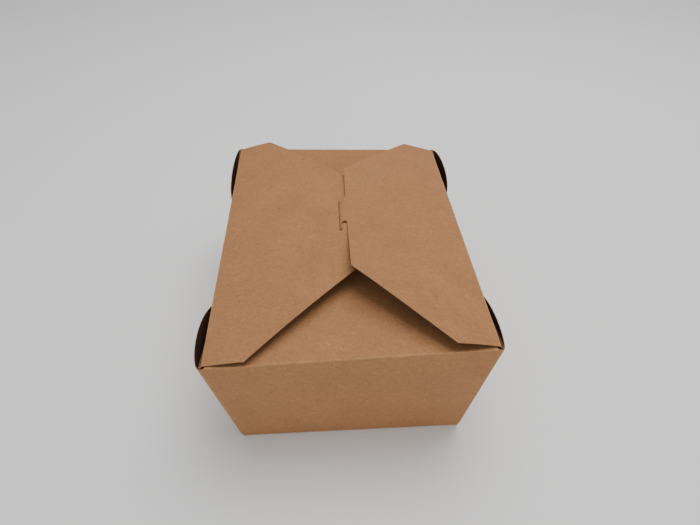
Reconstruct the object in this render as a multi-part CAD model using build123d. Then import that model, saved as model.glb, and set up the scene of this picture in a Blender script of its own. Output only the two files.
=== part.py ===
"""A folded paperboard takeaway box: a tapered tray whose two long flaps lock together with a tab and a slit.

Millimetres, +Z up. The origin is the middle of the resting face. X runs across the box and Y along it.
The box is one die-cut sheet, written as two nodes because one of its flaps opens by itself:
  carton         bottom, four walls, four web corners, two short end flaps and the slitted long flap
  locking_flap   the long flap on the +X side, with the tab that enters the slit
"""
from math import atan2, degrees, exp, hypot, radians, tan
import os

from build123d import *

# Tray
BASE_WIDTH = 140.0          # across the bottom
BASE_LENGTH = 197.0         # along the bottom
RIM_WIDTH = 159.0           # between the long creases
RIM_LENGTH = 216.0          # between the end creases
HEIGHT = 89.0               # resting face to creases
BOARD = 0.45                # thickness of the sheet
RIM_TWIST = 3.2             # the thin tray's mouth is sprung: two opposite corners high, the others low

# Both long flaps
FLAP_SHOULDER = 24.0        # crease to the point where the end edge turns into the slant
LOCKING_SLANT = 0.98        # narrowing at the -Y end for every millimetre beyond the shoulder
SLITTED_SLANT = 0.94
REAR_SLANT = 0.06           # how much more both flaps narrow at the +Y end
FLAP_RISE = 0.215           # slope at the crease
LOCKING_CURL = 4.0          # how far the locking flap's -Y end has sprung up
SLITTED_CURL = 2.6          # how far the slitted flap's +Y end has sprung up
CURL_RUN = 20.0             # distance from the crease over which the curl grows
SLITTED_ARCH = 0.00115      # flattening of the slitted flap, per millimetre squared
FLAP_CORNER = 1.5           # radius of the free edges' corners

# Where the long flaps meet
LOCK_EDGE = 3.0             # x of the locking flap's free edge
EDGE_LIFT = 2.0             # height of that edge's middle over the slitted flap
PULL_SPREAD = 26.0          # along the edge, distance over which the tab's pull fades
STRIP = 11.7                # board between the slit and the slitted flap's free edge

# Tab and slit
TAB_FRONT = -11.5           # y of the barb's tip
TAB_BACK = 20.0             # y of the tab's rear side
TAB_RUN = 4.2               # free edge to the slit
TAB_ENTRY = 1.0             # tab beyond the slit's near side
TAB_OVER_STRIP = 0.2        # clearance of the tab where it passes the slit's near side
TAB_SHOULDER = 4.5          # radius between the free edge and the tab's rear side
NOTCH_WIDTH = 3.6           # notch that frees the barb
NOTCH_END = -4.0            # y where the notch stops
SLIT_WIDTH = 1.6
SLIT_OVERRUN = 0.5          # slit beyond the tab at each end

# Short end flaps
END_FLAP_REACH = 68.0       # crease to free edge
END_FLAP_INSET = 4.0        # box corner to the end of the crease
END_FLAP_SLANT = 0.62       # narrowing of each side for every millimetre of reach
REAR_FLAP_FALL = 0.24       # slope of the +Y flap, which is pressed down; the -Y one lies level
END_FLAP_CORNER = 9.0       # radius of the free corners

# Web corners: each folds in two and lies against the outside of a long wall
WEB_DROP = 0.6              # from the creases down to the web's top edge
WEB_EDGE_RADIUS = 130.0     # of the web's curved top edge
WEB_BULGE = 5.0             # widest gap between the web's layers, at the height of the creases
WEB_SPRING = 0.5            # extra bulge for every millimetre that the rim's corner is low
WEB_STEEP = 0.03            # shares of the web's width and bulge that shape the gap: steep at the corner,
WEB_BLUNT = 0.95            # and blunt at the fold
WEB_NEAR_BULGE = 0.95
WEB_FAR_BULGE = 1.55
WEB_START = 3.0             # height where the gap starts
WEB_PINCH = 0.1             # gap left at its narrow ends

# Crease of the locking flap
CREASE_BEAD = 0.30          # radius of the fold about the hinge axis
CREASE_GAP = 0.15           # between the fold and the wall under it
CREASE_RELIEF = 2.0         # width cut from the end walls' top corners for the fold

SIDE_FLARE = (RIM_WIDTH - BASE_WIDTH) / 2
END_FLARE = (RIM_LENGTH - BASE_LENGTH) / 2
CREASE_X = RIM_WIDTH / 2
CREASE_Y = RIM_LENGTH / 2
BOARD_UNDERSIDE = HEIGHT - BOARD / 2
SLIT_X = LOCK_EDGE - TAB_RUN
LOCKING_REACH = CREASE_X - LOCK_EDGE
SLITTED_REACH = CREASE_X + SLIT_X + STRIP
TAB_MIDDLE = (TAB_FRONT + TAB_BACK) / 2
TAB_HALF = (TAB_BACK - TAB_FRONT) / 2


def rim_rise(x, y):
    """Height of the sprung mouth over a level one: a saddle, high at the +X -Y and -X +Y corners."""
    return -RIM_TWIST * x * y / (CREASE_X * CREASE_Y)


def crease_x(side, y):
    """Where a long wall's crease lies: the wall leans out, so a high crease lies further out."""
    return side * (CREASE_X + SIDE_FLARE / HEIGHT * rim_rise(side * CREASE_X, y))


def tapered_block(inset, bottom, top):
    """The tray's outer shape moved in by inset at every wall, between two heights."""
    sections = []
    for z in (bottom, top):
        width = BASE_WIDTH + 2 * SIDE_FLARE * z / HEIGHT - 2 * inset
        length = BASE_LENGTH + 2 * END_FLARE * z / HEIGHT - 2 * inset
        sections.append(Pos(0, 0, z) * Rectangle(width, length))
    return loft(sections, ruled=True)


def over_surface(height, xs, ys, thickness):
    """A layer of the given upright thickness on the surface height(x, y), fitted to a grid of points."""
    surface = Face.make_surface_from_array_of_points([[Vector(x, y, height(x, y)) for x in xs] for y in ys])
    return extrude(surface, amount=thickness, dir=(0, 0, 1))


def bent_sheet(height, xs, ys):
    """Board whose underside stands at height(x, y) over the mouth."""
    return over_surface(lambda x, y: height(x, y) + rim_rise(x, y), xs, ys, BOARD)


def cut_to(outline, sheet):
    """The part of a sheet over or under a plan outline."""
    return sheet & extrude(Pos(0, 0, HEIGHT / 2) * outline, amount=HEIGHT)


def steps(start, end, count):
    """Evenly spaced values from start to end."""
    return [start + (end - start) * i / count for i in range(count + 1)]


def tab_hold(y):
    """1 along the tab, which holds both long flaps in place, fading to 0 towards their ends."""
    beyond_tab = max(0.0, abs(y - TAB_MIDDLE) - TAB_HALF)
    return exp(-((beyond_tab / PULL_SPREAD) ** 2))


def curl(amount, side, reach, y):
    """Extra height of a flap's sprung end, which is its -Y end for side -1 and its +Y end for side +1."""
    at_end = 1 - tab_hold(y) if side * (y - TAB_MIDDLE) > 0 else 0
    return amount * at_end * (1 - exp(-max(0.0, reach) / CURL_RUN))


def slitted_underside(x, y):
    """Height of the slitted flap's underside over the sprung mouth."""
    reach = x - crease_x(-1, y)
    return BOARD_UNDERSIDE + FLAP_RISE * reach - SLITTED_ARCH * reach**2 + curl(SLITTED_CURL, 1, reach, y)


# How far the tab pulls the locking flap's free edge below the flap's own slope
EDGE_HEIGHT = slitted_underside(LOCK_EDGE, 0) + BOARD + EDGE_LIFT
TAB_PULL = BOARD_UNDERSIDE + FLAP_RISE * LOCKING_REACH - EDGE_HEIGHT
EDGE_SLOPE = FLAP_RISE - 2 * TAB_PULL / LOCKING_REACH
TAB_FALL = EDGE_LIFT - TAB_OVER_STRIP + slitted_underside(LOCK_EDGE, 0) - slitted_underside(SLIT_X, 0)
TAB_BEND = (TAB_FALL + EDGE_SLOPE * TAB_RUN) / TAB_RUN**2


def locking_underside(x, y):
    """Height of the locking flap's underside: drawn down along the tab, which then dips into the slit."""
    reach = crease_x(1, y) - x
    pull = TAB_PULL * tab_hold(y)
    height = BOARD_UNDERSIDE + FLAP_RISE * reach - pull * (reach / LOCKING_REACH) ** 2
    height += curl(LOCKING_CURL, -1, reach, y)
    past_edge = max(0.0, reach - LOCKING_REACH)
    return height - (TAB_BEND - pull / LOCKING_REACH**2) * past_edge**2


def long_flap_outline(side, reach, slant):
    """Plan of a long flap: side is +1 or -1 for the crease at +X or -X."""
    shoulder_x = side * (CREASE_X - FLAP_SHOULDER)
    edge_x = side * (CREASE_X - reach)
    front_y = slant * (reach - FLAP_SHOULDER) - CREASE_Y
    rear_y = CREASE_Y - (slant + REAR_SLANT) * (reach - FLAP_SHOULDER)
    outline = make_face(Polyline(
        (crease_x(side, CREASE_Y), CREASE_Y), (shoulder_x, CREASE_Y), (edge_x, rear_y),
        (edge_x, front_y), (shoulder_x, -CREASE_Y), (crease_x(side, -CREASE_Y), -CREASE_Y), close=True))
    free_corners = outline.vertices().filter_by(lambda v: abs(v.X - edge_x) < FLAP_CORNER)
    return fillet(free_corners, FLAP_CORNER)


def locking_outline():
    """Plan of the locking flap with its tab, the rounded tab shoulder and the notch behind the barb."""
    tip_x = SLIT_X - TAB_ENTRY
    tab = Pos((LOCK_EDGE + tip_x) / 2, TAB_MIDDLE) * Rectangle(LOCK_EDGE - tip_x, 2 * TAB_HALF)
    shoulder_x = LOCK_EDGE - TAB_SHOULDER
    shoulder_y = TAB_BACK + TAB_SHOULDER
    shoulder = Pos(shoulder_x, TAB_BACK) * Rectangle(TAB_SHOULDER, TAB_SHOULDER, align=(Align.MIN, Align.MIN))
    shoulder -= Pos(shoulder_x, shoulder_y) * Circle(TAB_SHOULDER)
    notch_x = LOCK_EDGE - NOTCH_WIDTH / 2
    notch_round = NOTCH_END - NOTCH_WIDTH / 2
    notch = Pos(notch_x, (TAB_FRONT + notch_round) / 2) * Rectangle(NOTCH_WIDTH, notch_round - TAB_FRONT)
    notch += Pos(notch_x, notch_round) * Circle(NOTCH_WIDTH / 2)
    return long_flap_outline(1, LOCKING_REACH, LOCKING_SLANT) + tab + shoulder - notch


def crease_end(y):
    """A point on the locking flap's crease."""
    return Vector(crease_x(1, y), y, HEIGHT + rim_rise(CREASE_X, y))


def locking_flap():
    """The locking flap, with a rounded fold about the hinge axis."""
    flap_xs = steps(CREASE_X + 1, LOCK_EDGE + 4, 8)
    tab_xs = steps(LOCK_EDGE + 3, SLIT_X - TAB_ENTRY - 1, 9)
    sheet = bent_sheet(locking_underside, flap_xs + tab_xs, steps(-CREASE_Y - 1, CREASE_Y + 1, 36))
    hinge = crease_end(CREASE_Y) - crease_end(-CREASE_Y)
    fold = Plane(crease_end(0), z_dir=hinge) * Cylinder(CREASE_BEAD, hinge.length)
    return cut_to(locking_outline(), sheet) + fold


def slitted_flap():
    """The long flap on the -X side, which lies underneath and carries the slit."""
    free_edge = SLITTED_REACH - CREASE_X
    xs = steps(-CREASE_X - 1, free_edge + 1, 14)
    sheet = bent_sheet(slitted_underside, xs, steps(-CREASE_Y - 1, CREASE_Y + 1, 36))
    slit_length = 2 * (TAB_HALF + SLIT_OVERRUN)
    slit = Pos(SLIT_X - SLIT_WIDTH / 2, TAB_MIDDLE) * Rectangle(SLIT_WIDTH, slit_length)
    return cut_to(long_flap_outline(-1, SLITTED_REACH, SLITTED_SLANT) - slit, sheet)


def end_flap(side):
    """The short flap of the -Y or +Y end."""
    near = CREASE_X - END_FLAP_INSET
    far = near - END_FLAP_SLANT * END_FLAP_REACH
    far_y = CREASE_Y - END_FLAP_REACH
    corners = (-near, CREASE_Y), (near, CREASE_Y), (far, far_y), (-far, far_y)
    outline = make_face(Polyline(*corners, close=True))
    outline = fillet(outline.vertices().filter_by(lambda v: v.Y < (far_y + CREASE_Y) / 2), END_FLAP_CORNER)
    outline = outline if side > 0 else mirror(outline, about=Plane.XZ)

    fall = REAR_FLAP_FALL if side > 0 else 0

    def underside(x, y):
        return BOARD_UNDERSIDE - fall * (CREASE_Y - abs(y))
    ys = steps(side * (far_y - 1), side * CREASE_Y, 4)
    return cut_to(outline, bent_sheet(underside, steps(-CREASE_X, CREASE_X, 4), ys))


# The web's fold line leans from the bottom corner towards the middle of the long wall
SIDE_LEAN = degrees(atan2(SIDE_FLARE, hypot(HEIGHT, END_FLARE)))
END_LEAN = degrees(atan2(END_FLARE, hypot(HEIGHT, SIDE_FLARE)))
WEB_FOLD_LEAN = 45 - (SIDE_LEAN + END_LEAN) / 2 - END_LEAN


def web_section(z, rise, cover, end_board, backing):
    """Plan, at one height, of a bulging layer at the +X, +Y corner.

    The bulge starts at cover from the long wall's face and stops end_board short of the corner and of the
    fold, and the layer reaches inwards by backing.
    """
    share = z / HEIGHT
    face_x = BASE_WIDTH / 2 + SIDE_FLARE * share + cover
    corner_y = BASE_LENGTH / 2 + END_FLARE * share - end_board
    fold_y = BASE_LENGTH / 2 - z * tan(radians(WEB_FOLD_LEAN)) + end_board
    width = corner_y - fold_y
    bulge = (WEB_BULGE - WEB_SPRING * rise) * share
    outside = Bezier((face_x, corner_y), (face_x + WEB_NEAR_BULGE * bulge, corner_y - WEB_STEEP * width),
                     (face_x + WEB_FAR_BULGE * bulge, corner_y - WEB_BLUNT * width), (face_x, fold_y))
    back_x = face_x - backing
    back = Polyline((face_x, fold_y), (back_x, fold_y), (back_x, corner_y), (face_x, corner_y))
    return Pos(0, 0, z) * make_face(outside + back)


def web_corner(rise):
    """The doubled web of the +X, +Y corner, where the rim stands at the given rise. Its curved top is open."""
    top = HEIGHT + RIM_TWIST
    layers = loft([web_section(z, rise, 2 * BOARD, 0, 2.5 * BOARD) for z in (WEB_START, top + 1)], ruled=True)
    gap_ends = (WEB_START + 1, top + 2)
    gap = loft([web_section(z, rise, BOARD, BOARD / 2, WEB_PINCH) for z in gap_ends], ruled=True)
    edge_middle = Pos(BASE_WIDTH / 2, BASE_LENGTH / 2, HEIGHT + rise - WEB_DROP - WEB_EDGE_RADIUS)
    return (layers - gap) & edge_middle * Rot(0, 90, 0) * Cylinder(WEB_EDGE_RADIUS, RIM_WIDTH / 2)


def over_rim(start_x, drop):
    """Everything more than drop below the sprung mouth's edge, from start_x to beyond the +X side."""
    xs = steps(start_x, RIM_WIDTH, 4)
    ys = steps(-RIM_LENGTH, RIM_LENGTH, 4)
    return over_surface(lambda x, y: HEIGHT + rim_rise(x, y) - drop, xs, ys, HEIGHT)


def carton():
    """Everything but the locking flap."""
    top = HEIGHT + 3 * RIM_TWIST
    tray = tapered_block(0, 0, top) - tapered_block(BOARD, BOARD, top + 1) - over_rim(-RIM_WIDTH, 0)
    low = web_corner(-RIM_TWIST)
    high = mirror(web_corner(RIM_TWIST), about=Plane.XZ)
    opposite = Rot(0, 0, 180)
    tray = tray + low + high + opposite * low + opposite * high
    tray -= over_rim(CREASE_X - CREASE_RELIEF, CREASE_BEAD + CREASE_GAP)
    return tray + slitted_flap() + end_flap(-1) + end_flap(1)


os.makedirs("parts", exist_ok=True)
export_step(carton(), "parts/carton.step")
export_step(locking_flap(), "parts/locking_flap.step")
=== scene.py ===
from math import cos, exp, pi, radians, sin, sqrt

import bmesh
import bpy
from mathutils import Euler, Matrix, Vector, noise
from mathutils.geometry import interpolate_bezier


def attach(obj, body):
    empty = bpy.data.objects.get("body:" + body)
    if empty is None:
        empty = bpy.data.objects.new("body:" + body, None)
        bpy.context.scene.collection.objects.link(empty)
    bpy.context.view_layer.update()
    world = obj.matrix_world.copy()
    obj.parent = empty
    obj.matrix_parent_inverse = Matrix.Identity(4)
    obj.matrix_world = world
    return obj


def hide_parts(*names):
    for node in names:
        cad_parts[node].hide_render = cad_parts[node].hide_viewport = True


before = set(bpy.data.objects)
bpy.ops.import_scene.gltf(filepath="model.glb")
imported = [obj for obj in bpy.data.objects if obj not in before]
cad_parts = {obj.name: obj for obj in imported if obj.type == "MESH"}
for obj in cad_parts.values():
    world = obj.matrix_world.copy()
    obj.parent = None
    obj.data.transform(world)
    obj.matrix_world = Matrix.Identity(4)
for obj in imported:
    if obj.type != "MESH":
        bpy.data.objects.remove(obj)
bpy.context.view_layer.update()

# Camera. It stands in front of the box, about 0.3 m above the table, and looks down on it with a
# wide lens. It is turned and rolled by a small angle. Angles are in degrees, places in metres.
LOOK_DOWN = 42.60
LOOK_ASIDE = -2.30
ROLL = -0.74
camera_data = bpy.data.cameras.new("camera")
camera_data.sensor_width = 36.0
camera_data.lens = 26.06
camera = bpy.data.objects.new("camera", camera_data)
camera.location = (-0.0061, -0.2691, 0.3067)
aim = Euler((radians(90 - LOOK_DOWN), 0.0, radians(LOOK_ASIDE))).to_matrix()
aim = aim @ Matrix.Rotation(radians(ROLL), 3, "Z")
camera.rotation_euler = aim.to_euler()
bpy.context.scene.collection.objects.link(camera)
bpy.context.scene.camera = camera

# Tray walls and bottom. One die-cut sheet of unbleached paperboard, 0.45 mm thick, is creased round a
# 140 x 197 mm bottom and its four walls lean out by 9.5 to 9.7 mm. Sizes are in millimetres and
# describe the middle of the board. The rim is slightly twisted, as the folded box pulls it.
BOARD = 0.45
BOTTOM = BOARD / 2
HEIGHT = 89.0
BASE_X = 69.775
BASE_Y = 98.275
FLARE_X = 9.725
FLARE_Y = 9.5
RIM_X = 79.5
RIM_Y = 107.7
START_X = 80.5
START_Y = 107.0
RIM_TWIST = 3.2
TWIST_X = 79.0
TWIST_Y = 108.0
TWIST_END_Y = 106.5
LAYER_STEP = 0.5
LAYER_RAMP = 3.0
LOOP_GROWTH = 0.7
END_GAP = 0.5
SLACK_LENGTH = 47.0
LONG_SLACK = 0.35
END_BULGE = 0.3
END_SLACK = 0.5
SETTLE_ROUNDS = 6
WALL_SPLIT = [-1.0, -0.99] + [k / 26 for k in range(-25, 26)] + [0.99, 1.0]
END_SPLIT = [-1.0, -0.985] + [0.968 * k / 18 for k in range(-18, 19)] + [0.985, 1.0]
WALL_ROWS = [0.0, 0.012] + [k / 22 for k in range(1, 22)] + [0.988, 1.0]


def rim_rise(x, y):
    across = max(-1.0, min(1.0, x / TWIST_X))
    along = max(-TWIST_END_Y, min(TWIST_END_Y, y)) / TWIST_Y
    return -RIM_TWIST * across * along


def wall_x(z):
    return BASE_X + FLARE_X * (z - BOTTOM) / (HEIGHT - BOTTOM)


def wall_y(z):
    return BASE_Y + FLARE_Y * (z - BOTTOM) / (HEIGHT - BOTTOM)


def layers_apart(z):
    return LAYER_STEP * min(1.0, (z - BOTTOM) / LAYER_RAMP)


def loop_width(z):
    return layers_apart(z) + LOOP_GROWTH * (z - BOTTOM) / HEIGHT


def wall_end(z):
    return wall_y(z) - layers_apart(z) - END_GAP * (z - BOTTOM) / HEIGHT - loop_width(z) / 2


def long_rim(side, share):
    y = share * START_Y
    for _ in range(SETTLE_ROUNDS):
        z = HEIGHT + rim_rise(side * RIM_X, y)
        y = share * wall_end(z)
    return Vector((side * wall_x(z), y, z))


def end_rim(end, share):
    x = share * START_X
    for _ in range(SETTLE_ROUNDS):
        z = HEIGHT + rim_rise(x, end * RIM_Y)
        x = share * (wall_x(z) + 2 * layers_apart(z))
    return Vector((x, end * wall_y(z), z))


def slack(a, b, seed):
    return noise.noise(Vector((a / SLACK_LENGTH, b / SLACK_LENGTH, seed)))


def lay_panel(bm, columns, rows, place):
    grid = bmesh.ops.create_grid(bm, x_segments=columns, y_segments=rows, size=1.0)
    for vert in grid["verts"]:
        column = round((vert.co.x + 1.0) / 2.0 * columns)
        row = round((vert.co.y + 1.0) / 2.0 * rows)
        vert.co = place(column, row)
    return grid["verts"]


sheet_bm = bmesh.new()
lay_panel(sheet_bm, len(END_SPLIT) - 1, len(WALL_SPLIT) - 1,
          lambda column, row: Vector((END_SPLIT[column] * BASE_X, WALL_SPLIT[row] * BASE_Y, BOTTOM)))
for side in (-1, 1):
    def long_wall(column, row):
        z = BOTTOM + (long_rim(side, WALL_SPLIT[column]).z - BOTTOM) * WALL_ROWS[row]
        y = WALL_SPLIT[column] * wall_end(z)
        middle = sin(pi * WALL_ROWS[row]) * (1.0 - WALL_SPLIT[column] ** 2)
        return Vector((side * (wall_x(z) + LONG_SLACK * middle * slack(y, z, side * 5.0)), y, z))

    def end_wall(column, row):
        z = BOTTOM + (end_rim(side, END_SPLIT[column]).z - BOTTOM) * WALL_ROWS[row]
        x = END_SPLIT[column] * (wall_x(z) + 2 * layers_apart(z))
        middle = sin(pi * WALL_ROWS[row]) * (1.0 - END_SPLIT[column] ** 2)
        return Vector((x, side * (wall_y(z) + middle * (END_BULGE + END_SLACK * slack(x, z, side * 9.0))), z))

    lay_panel(sheet_bm, len(WALL_SPLIT) - 1, len(WALL_ROWS) - 1, long_wall)
    lay_panel(sheet_bm, len(END_SPLIT) - 1, len(WALL_ROWS) - 1, end_wall)

# Corner webs. Each corner has no cut: the board between a long wall and an end wall is folded in
# half and laid back over the long wall. The inner half lies on the wall, and the outer half springs
# open into a pocket that widens towards its curved top edge. The fold next to the rim corner is a
# small round loop, and no two corners spring quite alike.
WEB_TOP_RADIUS = {(-1, -1): 160.0, (-1, 1): 225.0, (1, -1): 130.0, (1, 1): 172.0}
WEB_SPRING = {(-1, -1): 6.5, (-1, 1): 3.5, (1, -1): 2.9, (1, 1): 6.6}
WEB_DEPTH = 0.7512
LOOP_FADE = 6.0
FAR_SPRING = 1.55
FAR_ALONG = 0.05
NEAR_SPRING = 0.95
NEAR_ALONG = -0.03
WALL_TURNS = (0, 0.63, 1.26, 1.88, 2.51)
FOLD_TURNS = (0, 0.8, 1.57, 2.35)
INNER_SHARES = (0, 0.06, 0.12, 0.18, 0.25, 0.36, 0.5, 0.65, 0.82)
OUTER_POINTS = 17


def web_plan(z, spring):
    step = layers_apart(z)
    x = wall_x(z)
    y = wall_y(z)
    width = WEB_DEPTH * (z - BOTTOM)
    bulge = spring * z / HEIGHT
    fold_y = y - width + step / 2
    loop = loop_width(z)
    end_y = wall_end(z)
    wall_turn = [(x + loop / 2 * (1 - cos(t)), end_y + loop / 2 * sin(t)) for t in WALL_TURNS]
    inner = []
    for share in INNER_SHARES:
        along = share * (end_y - fold_y)
        inner.append((x + step + (loop - step) * exp(-(along / LOOP_FADE) ** 2), end_y - along))
    fold_turn = [(x + 1.5 * step - step / 2 * cos(t), fold_y - step / 2 * sin(t)) for t in FOLD_TURNS]
    near = Vector((x + 2 * step, y, 0.0))
    far = Vector((x + 2 * step, fold_y, 0.0))
    outer = interpolate_bezier(far, far + Vector((FAR_SPRING * bulge, FAR_ALONG * width, 0.0)),
                               near + Vector((NEAR_SPRING * bulge, NEAR_ALONG * width, 0.0)), near, OUTER_POINTS)
    folded = [Vector((a, b, z)) for a, b in wall_turn + inner + fold_turn]
    return folded + [Vector((p.x, p.y, z)) for p in outer]


def web_edge(y, corner, radius):
    return corner.z - radius + sqrt(radius ** 2 - max(0.0, abs(corner.y) - abs(y)) ** 2)


WEB_COLUMNS = len(web_plan(50.0, 0.0)) - 1
for side, end in ((-1, -1), (-1, 1), (1, -1), (1, 1)):
    corner = long_rim(side, end)
    spring = WEB_SPRING[side, end]
    radius = WEB_TOP_RADIUS[side, end]
    tops = [corner.z] * (WEB_COLUMNS + 1)
    for _ in range(SETTLE_ROUNDS):
        tops = [web_edge(web_plan(z, spring)[k].y, corner, radius) for k, z in enumerate(tops)]

    def web(column, row):
        z = BOTTOM + (tops[column] - BOTTOM) * WALL_ROWS[row]
        point = web_plan(z, spring)[column]
        return Vector((side * point.x, end * point.y, point.z))

    lay_panel(sheet_bm, WEB_COLUMNS, len(WALL_ROWS) - 1, web)

# End flaps. A short flap with slanted sides and round corners is creased to each end wall and lies
# under the two long flaps: the -Y one level, the +Y one pressed down a little.
END_REACH = 68.0
END_FALL = {-1: 0.0, 1: 0.24}
END_WAVE = 0.4
END_WAVE_FROM = 15.0
END_HALF = 77.9
END_SLANT = 0.657
END_ROUND_FROM = 63.7
END_ROUND = 9.0
END_ROUND_X = 28.33
END_ROUND_REACH = END_REACH - END_ROUND
END_ROUND_ROWS = [END_ROUND_REACH, 61.5, END_ROUND_FROM, 65.2, 66.3, 67.1, 67.6, 67.9, END_REACH]
END_ROWS = [0.0, 1.2] + [4.0 * k for k in range(1, 15)] + END_ROUND_ROWS


def end_flap_half(reach):
    if reach < END_ROUND_FROM:
        return END_HALF - END_SLANT * reach
    return END_ROUND_X + sqrt(max(0.0, END_ROUND ** 2 - (reach - END_ROUND_REACH) ** 2))


for end in (-1, 1):
    def end_flap(column, row):
        crease = end_rim(end, END_SPLIT[column + 2])
        reach = END_ROWS[row]
        x = crease.x * end_flap_half(reach) / END_HALF
        y = crease.y - end * reach
        wave = END_WAVE * min(1.0, reach / END_WAVE_FROM) * slack(x, y, 3.0)
        return Vector((x, y, HEIGHT + rim_rise(x, y) - END_FALL[end] * reach + wave))

    lay_panel(sheet_bm, len(END_SPLIT) - 5, len(END_ROWS) - 1, end_flap)

# Slitted long flap. It folds in from the -X wall under the other flap, arched by the board's spring,
# and has a die-cut slit, about 1 x 32.5 mm, just past the middle for the tab.
FLAP_SHOULDER = 24.0
FLAP_RISE = 0.215
LOCK_EDGE = 3.0
TAB_RUN = 4.2
SLIT_X = LOCK_EDGE - TAB_RUN
SLIT_WIDTH = 0.95
SLIT_ENDS = (-12.0, 20.5)
LOCKING_REACH = 76.5
TAB_MIDDLE = 4.25
TAB_HALF = 15.75
HOLD_FADE = 26.0
CURL_LENGTH = 20.0
SLITTED_CURL = 2.6
SLITTED_ARCH = 0.00115
FLAP_WAVE = 0.3
FLAP_WAVE_FROM = 18.0
FLAP_ROW = 4.0
SHOULDER_Y = 108
SLITTED_EDGE = 10.5
NEAR_CREASE = 78.3


def tab_hold(y):
    away = max(0.0, abs(y - TAB_MIDDLE) - TAB_HALF)
    return exp(-((away / HOLD_FADE) ** 2))


def flap_curl(amount, side, reach, y):
    free = 1.0 - tab_hold(y) if side * (y - TAB_MIDDLE) > 0 else 0.0
    return amount * free * (1.0 - exp(-max(0.0, reach) / CURL_LENGTH))


def slitted_height(x, y):
    reach = max(0.0, x + RIM_X)
    rise = FLAP_RISE * reach - SLITTED_ARCH * reach ** 2 + flap_curl(SLITTED_CURL, 1, reach, y)
    return HEIGHT + rim_rise(x, y) + rise


def flap_wave(x, y, reach):
    return FLAP_WAVE * min(1.0, reach / FLAP_WAVE_FROM) * slack(x, y, 3.0)


def grid_blank(bm, cuts_x, cuts_y):
    planes = [((x, 0, 0), (1, 0, 0)) for x in cuts_x] + [((0, y, 0), (0, 1, 0)) for y in cuts_y]
    for place_on, normal in planes:
        bmesh.ops.bisect_plane(bm, geom=bm.verts[:] + bm.edges[:] + bm.faces[:], dist=0.0005,
                               plane_co=place_on, plane_no=normal)


def to_crease(side, x, y):
    crease = HEIGHT + rim_rise(side * RIM_X, y)
    return side * (wall_x(crease) - RIM_X) * max(0.0, 1.0 - (RIM_X - side * x) / FLAP_SHOULDER)


slitted_bm = bmesh.new()
low = long_rim(-1, -1).y
high = long_rim(-1, 1).y
shoulder_x = RIM_X - FLAP_SHOULDER
corners = [(-RIM_X, low), (-shoulder_x, -SHOULDER_Y), (SLITTED_EDGE, -45.96), (SLITTED_EDGE, 42.0),
           (-shoulder_x, SHOULDER_Y), (-RIM_X, high)]
blank = [slitted_bm.verts.new((x, y, 0)) for x, y in corners]
slitted_bm.faces.new(blank)
bmesh.ops.bevel(slitted_bm, geom=blank[2:4], offset=1.2, segments=4, profile=0.5,
                affect="VERTICES", material=-1)
wall_tops = [long_rim(-1, share).y for share in WALL_SPLIT[1:-1]]
rows_x = [-NEAR_CREASE, SLIT_X - SLIT_WIDTH, SLIT_X] + [-RIM_X + FLAP_ROW * k for k in range(1, 23)]
grid_blank(slitted_bm, rows_x, wall_tops + list(SLIT_ENDS))
in_slit = []
for face in slitted_bm.faces:
    middle = face.calc_center_median()
    if -SLIT_WIDTH < middle.x - SLIT_X < 0 and SLIT_ENDS[0] < middle.y < SLIT_ENDS[1]:
        in_slit.append(face)
bmesh.ops.delete(slitted_bm, geom=in_slit, context="FACES")
for vert in slitted_bm.verts:
    x, y = vert.co.x, vert.co.y
    vert.co.z = slitted_height(x, y) + flap_wave(x, y, x + RIM_X)
    vert.co.x += to_crease(-1, x, y)
slitted_mesh = bpy.data.meshes.new("slitted_flap")
slitted_bm.to_mesh(slitted_mesh)
slitted_bm.free()
sheet_bm.from_mesh(slitted_mesh)
bpy.data.meshes.remove(slitted_mesh)

# Folding up. The panels become one sheet along their creases, and each score line gets the small
# round that creased board has, which stops short of every corner. The board's thickness comes last,
# with a coated inside and cut edges.
bmesh.ops.remove_doubles(sheet_bm, verts=sheet_bm.verts[:], dist=0.02)
bmesh.ops.dissolve_degenerate(sheet_bm, dist=0.01, edges=sheet_bm.edges[:])
bmesh.ops.recalc_face_normals(sheet_bm, faces=sheet_bm.faces[:])
lowest = min(sheet_bm.faces, key=lambda face: face.calc_center_median().length)
if lowest.normal.z > 0:
    bmesh.ops.reverse_faces(sheet_bm, faces=sheet_bm.faces[:])
fold_layer = sheet_bm.verts.layers.float.new("fold")
CREASE_ANGLE = radians(24)
CREASE_ROUND = 0.35
BASE_SCORE_X = 67
BASE_SCORE_Y = 95
END_SCORE_X = 77
END_SCORE_FROM = 106
LONG_SCORE_Y = 104
LONG_SCORE_FROM = 78.5
scored = []
for edge in sheet_bm.edges:
    if len(edge.link_faces) == 2 and edge.calc_face_angle(0.0) > CREASE_ANGLE:
        middle = (edge.verts[0].co + edge.verts[1].co) / 2
        for vert in edge.verts:
            vert[fold_layer] = 1.0
        at_bottom = middle.z < 0.3 and (abs(middle.x) < BASE_SCORE_X or abs(middle.y) < BASE_SCORE_Y)
        at_rim = abs(middle.z - HEIGHT - rim_rise(middle.x, middle.y)) < 0.4
        if abs(middle.y) > END_SCORE_FROM:
            at_flap = abs(middle.x) < END_SCORE_X
        else:
            at_flap = middle.x < -LONG_SCORE_FROM and abs(middle.y) < LONG_SCORE_Y
        if at_bottom or at_rim and at_flap:
            scored.append(edge)
bmesh.ops.bevel(sheet_bm, geom=scored, offset=CREASE_ROUND, offset_type="OFFSET", segments=3,
                profile=0.5, affect="EDGES", material=-1, clamp_overlap=True)


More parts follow.
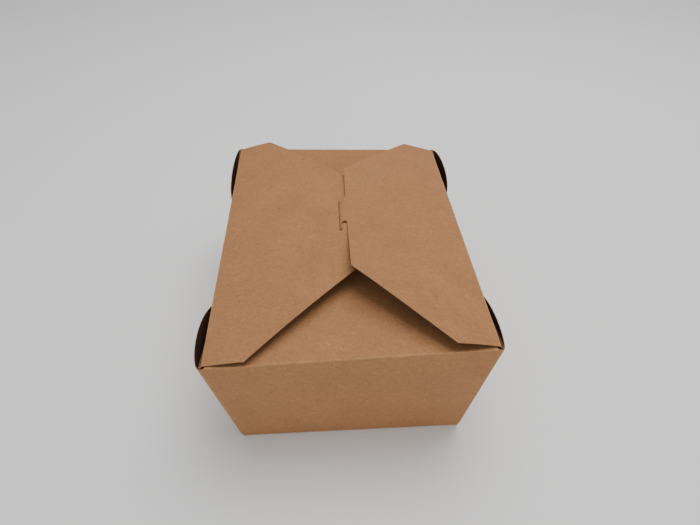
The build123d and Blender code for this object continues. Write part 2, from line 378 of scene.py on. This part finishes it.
def finish_board(name, bm):
    bmesh.ops.scale(bm, vec=(0.001, 0.001, 0.001), verts=bm.verts[:])
    mesh = bpy.data.meshes.new(name)
    bm.to_mesh(mesh)
    bm.free()
    board = bpy.data.objects.new(name, mesh)
    bpy.context.scene.collection.objects.link(board)
    for finish in (board_outside, board_inside_painted_shade, board_edge_painted_shade):
        mesh.materials.append(finish)
    solid = board.modifiers.new("thickness", "SOLIDIFY")
    solid.thickness = BOARD / 1000
    solid.offset = 0.0
    solid.use_even_offset = True
    solid.thickness_clamp = 0.0
    solid.material_offset = 1
    solid.material_offset_rim = 2
    depsgraph = bpy.context.evaluated_depsgraph_get()
    solid_mesh = bpy.data.meshes.new_from_object(board.evaluated_get(depsgraph))
    board.modifiers.clear()
    board.data = solid_mesh
    solid_mesh.name = name
    bpy.data.meshes.remove(mesh)
    for face in solid_mesh.polygons:
        face.use_smooth = True
    solid_mesh.set_sharp_from_angle(angle=radians(40))
    return board


# Finish of the board. The outside is bare brown pulp with long fibres, dark specks and soft clouds of
# tone. The inside is coated against grease, and its near-black brown is painted shade that darkens the
# corner pockets and the flaps' undersides. The cut edges are painted dark as painted shadow lines along
# the flaps' free edges and the webs' top edges.
def add_node(tree, kind, values=(), **settings):
    node = tree.nodes.new(kind)
    for name, value in settings.items():
        setattr(node, name, value)
    for name, value in dict(values).items():
        socket = node.inputs[name]
        if isinstance(value, bpy.types.NodeSocket):
            tree.links.new(value, socket)
        else:
            socket.default_value = value
    return node


def math_node(tree, operation, a, b):
    return add_node(tree, "ShaderNodeMath", {0: a, 1: b}, operation=operation).outputs[0]


def ramp(tree, value, low, high, to_low, to_high):
    values = {"Value": value, "From Min": low, "From Max": high, "To Min": to_low, "To Max": to_high}
    return add_node(tree, "ShaderNodeMapRange", values).outputs["Result"]


def mix_colour(tree, amount, first, second, blend="MIX"):
    node = add_node(tree, "ShaderNodeMix", data_type="RGBA", blend_type=blend)
    for index, value in ((0, amount), (6, first), (7, second)):
        if isinstance(value, bpy.types.NodeSocket):
            tree.links.new(value, node.inputs[index])
        else:
            node.inputs[index].default_value = value
    return node.outputs[2]


pulp = bpy.data.node_groups.new("unbleached_pulp", "ShaderNodeTree")
pulp.interface.new_socket("Tone", in_out="INPUT", socket_type="NodeSocketColor")
pulp.interface.new_socket("Fibres", in_out="INPUT", socket_type="NodeSocketFloat")
pulp.interface.new_socket("Fold", in_out="INPUT", socket_type="NodeSocketFloat")
pulp.interface.new_socket("Colour", in_out="OUTPUT", socket_type="NodeSocketColor")
pulp.interface.new_socket("Relief", in_out="OUTPUT", socket_type="NodeSocketFloat")
pulp.interface.new_socket("Roughness", in_out="OUTPUT", socket_type="NodeSocketFloat")
given = pulp.nodes.new("NodeGroupInput")
result = pulp.nodes.new("NodeGroupOutput")
place = pulp.nodes.new("ShaderNodeTexCoord").outputs["Object"]
turned = add_node(pulp, "ShaderNodeMapping", {"Vector": place, "Location": (0.31, 0.17, 0.23),
                                              "Rotation": (0.5, 0.9, 0.3)}).outputs[0]


def pulp_noise(scale, detail, rough=0.5, where=place, twist=0.0):
    values = {"Vector": where, "Scale": scale, "Detail": detail, "Roughness": rough, "Distortion": twist}
    return add_node(pulp, "ShaderNodeTexNoise", values).outputs["Fac"]


clouds = ramp(pulp, pulp_noise(42.0, 3.0), 0.3, 0.7, 0.95, 1.045)
drawn_out = add_node(pulp, "ShaderNodeMapping", {"Vector": place, "Scale": (0.7, 1.15, 1.15)}).outputs[0]
patches = ramp(pulp, pulp_noise(400.0, 3.0, 0.6, drawn_out), 0.3, 0.7, 0.92, 1.075)
grain = pulp_noise(1000.0, 4.0, 0.65)
broad = math_node(pulp, "MULTIPLY", clouds, patches)
shade = math_node(pulp, "MULTIPLY", broad, ramp(pulp, grain, 0.3, 0.7, 0.84, 1.15))


def fibre_lines(scale, where, gate_low, gate_high):
    from_middle = math_node(pulp, "SUBTRACT", pulp_noise(scale, 1.0, 0.4, where, 0.7), 0.5)
    off_line = math_node(pulp, "ABSOLUTE", from_middle, 0.0)
    line = ramp(pulp, off_line, 0.004, 0.016, 1.0, 0.0)
    gate = ramp(pulp, pulp_noise(scale * 1.7, 1.0, where=where), gate_low, gate_high, 0.0, 1.0)
    return math_node(pulp, "MULTIPLY", line, gate)


dark_fibres = fibre_lines(170.0, place, 0.50, 0.60)
pale_fibres = fibre_lines(210.0, turned, 0.48, 0.58)
specks = add_node(pulp, "ShaderNodeTexVoronoi", {"Vector": turned, "Scale": 260.0})
speck_kind = add_node(pulp, "ShaderNodeSeparateColor", {"Color": specks.outputs["Color"]}).outputs[0]
speck = math_node(pulp, "MULTIPLY", ramp(pulp, specks.outputs["Distance"], 0.04, 0.12, 1.0, 0.0),
                  ramp(pulp, speck_kind, 0.74, 0.82, 0.0, 1.0))
colour = mix_colour(pulp, 1.0, given.outputs["Tone"], shade, "MULTIPLY")
marks = ((dark_fibres, 0.40, (0.20, 0.095, 0.040, 1)),
         (pale_fibres, 0.16, (0.74, 0.46, 0.24, 1)),
         (speck, 0.75, (0.11, 0.050, 0.022, 1)))
for mask, share, mark_tone in marks:
    strength = math_node(pulp, "MULTIPLY", given.outputs["Fibres"], share)
    colour = mix_colour(pulp, math_node(pulp, "MULTIPLY", mask, strength), colour, mark_tone)
wear = ramp(pulp, pulp_noise(700.0, 3.0), 0.35, 0.65, 0.10, 0.45)
worn = math_node(pulp, "MULTIPLY", given.outputs["Fold"], wear)
colour = mix_colour(pulp, worn, colour, (0.62, 0.33, 0.15, 1))
all_fibres = math_node(pulp, "ADD", dark_fibres, pale_fibres)
relief = math_node(pulp, "ADD", grain, math_node(pulp, "MULTIPLY", all_fibres, 0.6))
relief = math_node(pulp, "ADD", relief, math_node(pulp, "MULTIPLY", pulp_noise(160.0, 2.0), 1.2))
pulp.links.new(colour, result.inputs["Colour"])
pulp.links.new(relief, result.inputs["Relief"])
pulp.links.new(ramp(pulp, grain, 0.3, 0.7, -0.06, 0.06), result.inputs["Roughness"])


def board_finish(name, tone, fibres, rough, relief_depth, gloss):
    material = bpy.data.materials.new(name)
    material.use_nodes = True
    tree = material.node_tree
    shader = tree.nodes["Principled BSDF"]
    group = add_node(tree, "ShaderNodeGroup", node_tree=pulp)
    group.inputs["Tone"].default_value = tone
    group.inputs["Fibres"].default_value = fibres
    fold = add_node(tree, "ShaderNodeAttribute", attribute_name="fold").outputs["Fac"]
    tree.links.new(fold, group.inputs["Fold"])
    tree.links.new(group.outputs["Colour"], shader.inputs["Base Color"])
    tree.links.new(math_node(tree, "ADD", group.outputs["Roughness"], rough), shader.inputs["Roughness"])
    bump = add_node(tree, "ShaderNodeBump", {"Height": group.outputs["Relief"], "Strength": 0.35,
                                             "Distance": relief_depth})
    tree.links.new(bump.outputs["Normal"], shader.inputs["Normal"])
    shader.inputs["Specular IOR Level"].default_value = gloss
    return material


board_outside = board_finish("paperboard_outside", (0.372, 0.170, 0.067, 1), 1.0, 0.80, 0.00010, 0.30)
# The inside's near-black tone is painted shade: coated brown board made dark so the corner pockets and the
# flaps' undersides look shaded.
board_inside_painted_shade = board_finish("paperboard_coated_inside_painted_shade", (0.052, 0.027, 0.017, 1), 0.15, 0.55, 0.00006, 0.35)
# The cut edge's dark tone is painted shade: it stands in for the thin shadow lines along the flaps' free edges
# and the webs' top edges.
board_edge_painted_shade = board_finish("paperboard_cut_edge_painted_shade", (0.120, 0.060, 0.030, 1), 0.4, 0.90, 0.00012, 0.20)
folded_sheet = finish_board("folded_sheet", sheet_bm)
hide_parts("carton")
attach(folded_sheet, "carton")

# Locking long flap. It swings on the +X crease, lies over the slitted flap, and its tab goes down
# through the slit, with a round shoulder behind and a notch in front whose barb holds it there.
EDGE_LIFT = 1.0
LOCKING_CURL = 4.0
TAB_DIP = 0.9
TAB_STEP = 0.7
TAB_TIP_X = -1.75
TAB_FRONT = -11.5
TAB_BACK = 20.0
NOTCH_X = -0.6
NOTCH_END = -4
EDGE_HEIGHT = slitted_height(LOCK_EDGE, 0.0) + BOARD / 2 + EDGE_LIFT
TAB_PULL = HEIGHT - BOARD / 2 + FLAP_RISE * LOCKING_REACH - EDGE_HEIGHT
EDGE_SLOPE = FLAP_RISE - 2 * TAB_PULL / LOCKING_REACH
TAB_FALL = EDGE_LIFT - 0.2 + slitted_height(LOCK_EDGE, 0.0) - slitted_height(SLIT_X, 0.0)
TAB_BEND = (TAB_FALL + EDGE_SLOPE * TAB_RUN) / TAB_RUN ** 2


def locking_height(x, y):
    reach = max(0.0, RIM_X - x)
    pull = TAB_PULL * tab_hold(y)
    curl = flap_curl(LOCKING_CURL, -1, reach, y)
    rise = FLAP_RISE * reach - pull * (reach / LOCKING_REACH) ** 2 + curl
    past = max(0.0, reach - LOCKING_REACH)
    dip = TAB_DIP * max(0.0, past - TAB_RUN)
    return HEIGHT + rim_rise(x, y) + rise - (TAB_BEND - pull / LOCKING_REACH ** 2) * past ** 2 - dip


locking_bm = bmesh.new()
low = long_rim(1, -1).y
high = long_rim(1, 1).y
corners = [(RIM_X, low), (RIM_X, high), (shoulder_x, SHOULDER_Y), (LOCK_EDGE, 53.4),
           (LOCK_EDGE, TAB_BACK), (TAB_TIP_X, TAB_BACK), (TAB_TIP_X, TAB_FRONT), (NOTCH_X, TAB_FRONT),
           (NOTCH_X, NOTCH_END), (LOCK_EDGE, NOTCH_END), (LOCK_EDGE, -56.55),
           (shoulder_x, -SHOULDER_Y)]
blank = [locking_bm.verts.new((x, y, 0)) for x, y in corners]
locking_bm.faces.new(blank)
for numbers, round_off in (((3, 10), 1.2), ((4,), 4.5), ((8, 9), 1.78), ((5, 6, 7), 0.4)):
    bmesh.ops.bevel(locking_bm, geom=[blank[n] for n in numbers], offset=round_off, segments=6, profile=0.5,
                    affect="VERTICES", material=-1)
rows_x = [LOCK_EDGE, NEAR_CREASE] + [SLIT_X + TAB_STEP * k for k in range(6)]
rows_x += [RIM_X - FLAP_ROW * k for k in range(1, 20)]
grid_blank(locking_bm, rows_x, [TAB_FRONT, TAB_BACK] + [long_rim(1, share).y for share in WALL_SPLIT[1:-1]])
for vert in locking_bm.verts:
    x, y = vert.co.x, vert.co.y
    vert.co.z = locking_height(x, y) + flap_wave(x, y, RIM_X - x)
    vert.co.x += to_crease(1, x, y)
bmesh.ops.recalc_face_normals(locking_bm, faces=locking_bm.faces[:])
if locking_bm.faces[:][0].normal.z < 0:
    bmesh.ops.reverse_faces(locking_bm, faces=locking_bm.faces[:])
fold_layer = locking_bm.verts.layers.float.new("fold")
for vert in locking_bm.verts:
    vert[fold_layer] = 1.0 if vert.co.x > 79.0 else 0.0
locking_board = finish_board("locking_flap_board", locking_bm)
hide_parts("locking_flap")
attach(locking_board, "locking_flap")

# Floor and light. A pale matt table stands under a soft lamp above and behind the box. A weaker, cool
# lamp low in front lifts the front wall, and the room's own light grows towards the ceiling.
FLOOR_HALF = 3.0
FLOOR_DROP = 0.0003
floor_bm = bmesh.new()
bmesh.ops.create_grid(floor_bm, x_segments=1, y_segments=1, size=FLOOR_HALF)
floor_mesh = bpy.data.meshes.new("floor")
bmesh.ops.translate(floor_bm, vec=(0, 0, -FLOOR_DROP), verts=floor_bm.verts[:])
floor_bm.to_mesh(floor_mesh)
floor_bm.free()
floor = bpy.data.objects.new("floor", floor_mesh)
bpy.context.scene.collection.objects.link(floor)
floor_finish = bpy.data.materials.new("pale_table")
floor_finish.use_nodes = True
floor_shader = floor_finish.node_tree.nodes["Principled BSDF"]
floor_shader.inputs["Base Color"].default_value = (0.87, 0.855, 0.84, 1)
floor_shader.inputs["Roughness"].default_value = 0.75
floor_mesh.materials.append(floor_finish)
lamps = (("key", (0.22, 0.26, 1.18), 1.0, 13.0, (1.0, 1.0, 1.0)),
         ("fill", (0.0, -1.20, 0.22), 0.8, 5.6, (0.85, 0.96, 1.0)))
for name, place_at, size, energy, tint in lamps:
    light_data = bpy.data.lights.new(name, "AREA")
    light_data.size = size
    light_data.energy = energy
    light_data.color = tint
    light = bpy.data.objects.new(name, light_data)
    light.location = place_at
    away_from_box = Vector(place_at) - Vector((0, 0, 0.05))
    light.rotation_euler = away_from_box.to_track_quat("Z", "Y").to_euler()
    bpy.context.scene.collection.objects.link(light)
world = bpy.data.worlds.new("room")
world.use_nodes = True
sky = world.node_tree
direction = sky.nodes.new("ShaderNodeTexCoord").outputs["Generated"]
upward = add_node(sky, "ShaderNodeSeparateXYZ", {"Vector": direction}).outputs["Z"]
background = sky.nodes["Background"]
background.inputs["Color"].default_value = (0.82, 0.83, 0.85, 1)
sky.links.new(ramp(sky, upward, 0.0, 0.9, 0.24, 0.72), background.inputs["Strength"])
bpy.context.scene.world = world
